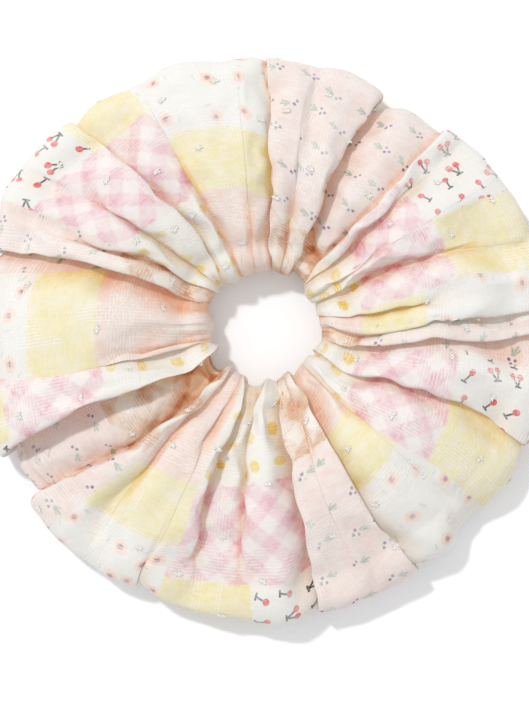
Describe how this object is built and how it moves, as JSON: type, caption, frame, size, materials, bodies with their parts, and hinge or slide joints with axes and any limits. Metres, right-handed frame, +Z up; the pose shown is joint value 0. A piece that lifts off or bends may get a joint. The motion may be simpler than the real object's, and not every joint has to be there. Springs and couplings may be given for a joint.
{
  "type": "scrunchie",
  "caption": "Oversized hair scrunchie: a gathered ring of printed cotton sewn over an elastic band, which stretches to open its hole.",
  "frame": {"origin": "centre of the hole, on the surface that the ring lies on", "axes": "+Z up through the hole; +X and +Y in the ring's plane, with the closing seam 63 degrees round from +X towards +Y"},
  "size_m": [0.17, 0.17, 0.0235],
  "materials": {
    "printed_cotton": "matt dobby cotton with a pastel patchwork print",
    "elastic": "white braided elastic",
    "thread": "off-white sewing thread"
  },
  "bodies": {
    "sector_01": {"cover_01": "printed_cotton", "elastic_01": "elastic", "seam_thread_01": "thread", "elastic_lap_end": "elastic", "elastic_lap_stitching": "thread", "closing_seam_thread": "thread"},
    "sector_02": {"cover_02": "printed_cotton", "elastic_02": "elastic", "seam_thread_02": "thread"},
    "sector_03": {"cover_03": "printed_cotton", "elastic_03": "elastic", "seam_thread_03": "thread"},
    "sector_04": {"cover_04": "printed_cotton", "elastic_04": "elastic", "seam_thread_04": "thread"},
    "sector_05": {"cover_05": "printed_cotton", "elastic_05": "elastic", "seam_thread_05": "thread"},
    "sector_06": {"cover_06": "printed_cotton", "elastic_06": "elastic", "seam_thread_06": "thread"},
    "sector_07": {"cover_07": "printed_cotton", "elastic_07": "elastic", "seam_thread_07": "thread"},
    "sector_08": {"cover_08": "printed_cotton", "elastic_08": "elastic", "seam_thread_08": "thread"},
    "sector_09": {"cover_09": "printed_cotton", "elastic_09": "elastic", "seam_thread_09": "thread"},
    "sector_10": {"cover_10": "printed_cotton", "elastic_10": "elastic", "seam_thread_10": "thread"},
    "sector_11": {"cover_11": "printed_cotton", "elastic_11": "elastic", "seam_thread_11": "thread"},
    "sector_12": {"cover_12": "printed_cotton", "elastic_12": "elastic", "seam_thread_12": "thread"}
  },
  "joints": [
    {"name": "stretch_07_08", "type": "slide", "parent": "sector_07", "child": "sector_08", "axis": [0.9986, 0.0523, 0], "range_m": [0, 0.01242], "stiffness_N_per_m": 200},
    {"name": "stretch_08_09", "type": "slide", "parent": "sector_08", "child": "sector_09", "axis": [0.8387, 0.5446, 0], "range_m": [0, 0.01242], "stiffness_N_per_m": 200},
    {"name": "stretch_09_10", "type": "slide", "parent": "sector_09", "child": "sector_10", "axis": [0.454, 0.891, 0], "range_m": [0, 0.01242], "stiffness_N_per_m": 200},
    {"name": "stretch_10_11", "type": "slide", "parent": "sector_10", "child": "sector_11", "axis": [-0.0523, 0.9986, 0], "range_m": [0, 0.01242], "stiffness_N_per_m": 200},
    {"name": "stretch_11_12", "type": "slide", "parent": "sector_11", "child": "sector_12", "axis": [-0.5446, 0.8387, 0], "range_m": [0, 0.01242], "stiffness_N_per_m": 200},
    {"name": "stretch_07_06", "type": "slide", "parent": "sector_07", "child": "sector_06", "axis": [-0.891, 0.454, 0], "range_m": [0, 0.01242], "stiffness_N_per_m": 200},
    {"name": "stretch_06_05", "type": "slide", "parent": "sector_06", "child": "sector_05", "axis": [-0.5446, 0.8387, 0], "range_m": [0, 0.01242], "stiffness_N_per_m": 200},
    {"name": "stretch_05_04", "type": "slide", "parent": "sector_05", "child": "sector_04", "axis": [-0.0523, 0.9986, 0], "range_m": [0, 0.01242], "stiffness_N_per_m": 200},
    {"name": "stretch_04_03", "type": "slide", "parent": "sector_04", "child": "sector_03", "axis": [0.454, 0.891, 0], "range_m": [0, 0.01242], "stiffness_N_per_m": 200},
    {"name": "stretch_03_02", "type": "slide", "parent": "sector_03", "child": "sector_02", "axis": [0.8387, 0.5446, 0], "range_m": [0, 0.01242], "stiffness_N_per_m": 200},
    {"name": "stretch_02_01", "type": "slide", "parent": "sector_02", "child": "sector_01", "axis": [0.9986, 0.0523, 0], "range_m": [0, 0.01242], "stiffness_N_per_m": 200}
  ],
  "couplings": [
    {"joint": "stretch_08_09", "follows": "stretch_07_08", "ratio": 1},
    {"joint": "stretch_09_10", "follows": "stretch_07_08", "ratio": 1},
    {"joint": "stretch_10_11", "follows": "stretch_07_08", "ratio": 1},
    {"joint": "stretch_11_12", "follows": "stretch_07_08", "ratio": 1},
    {"joint": "stretch_07_06", "follows": "stretch_07_08", "ratio": 1},
    {"joint": "stretch_06_05", "follows": "stretch_07_08", "ratio": 1},
    {"joint": "stretch_05_04", "follows": "stretch_07_08", "ratio": 1},
    {"joint": "stretch_04_03", "follows": "stretch_07_08", "ratio": 1},
    {"joint": "stretch_03_02", "follows": "stretch_07_08", "ratio": 1},
    {"joint": "stretch_02_01", "follows": "stretch_07_08", "ratio": 1}
  ]
}
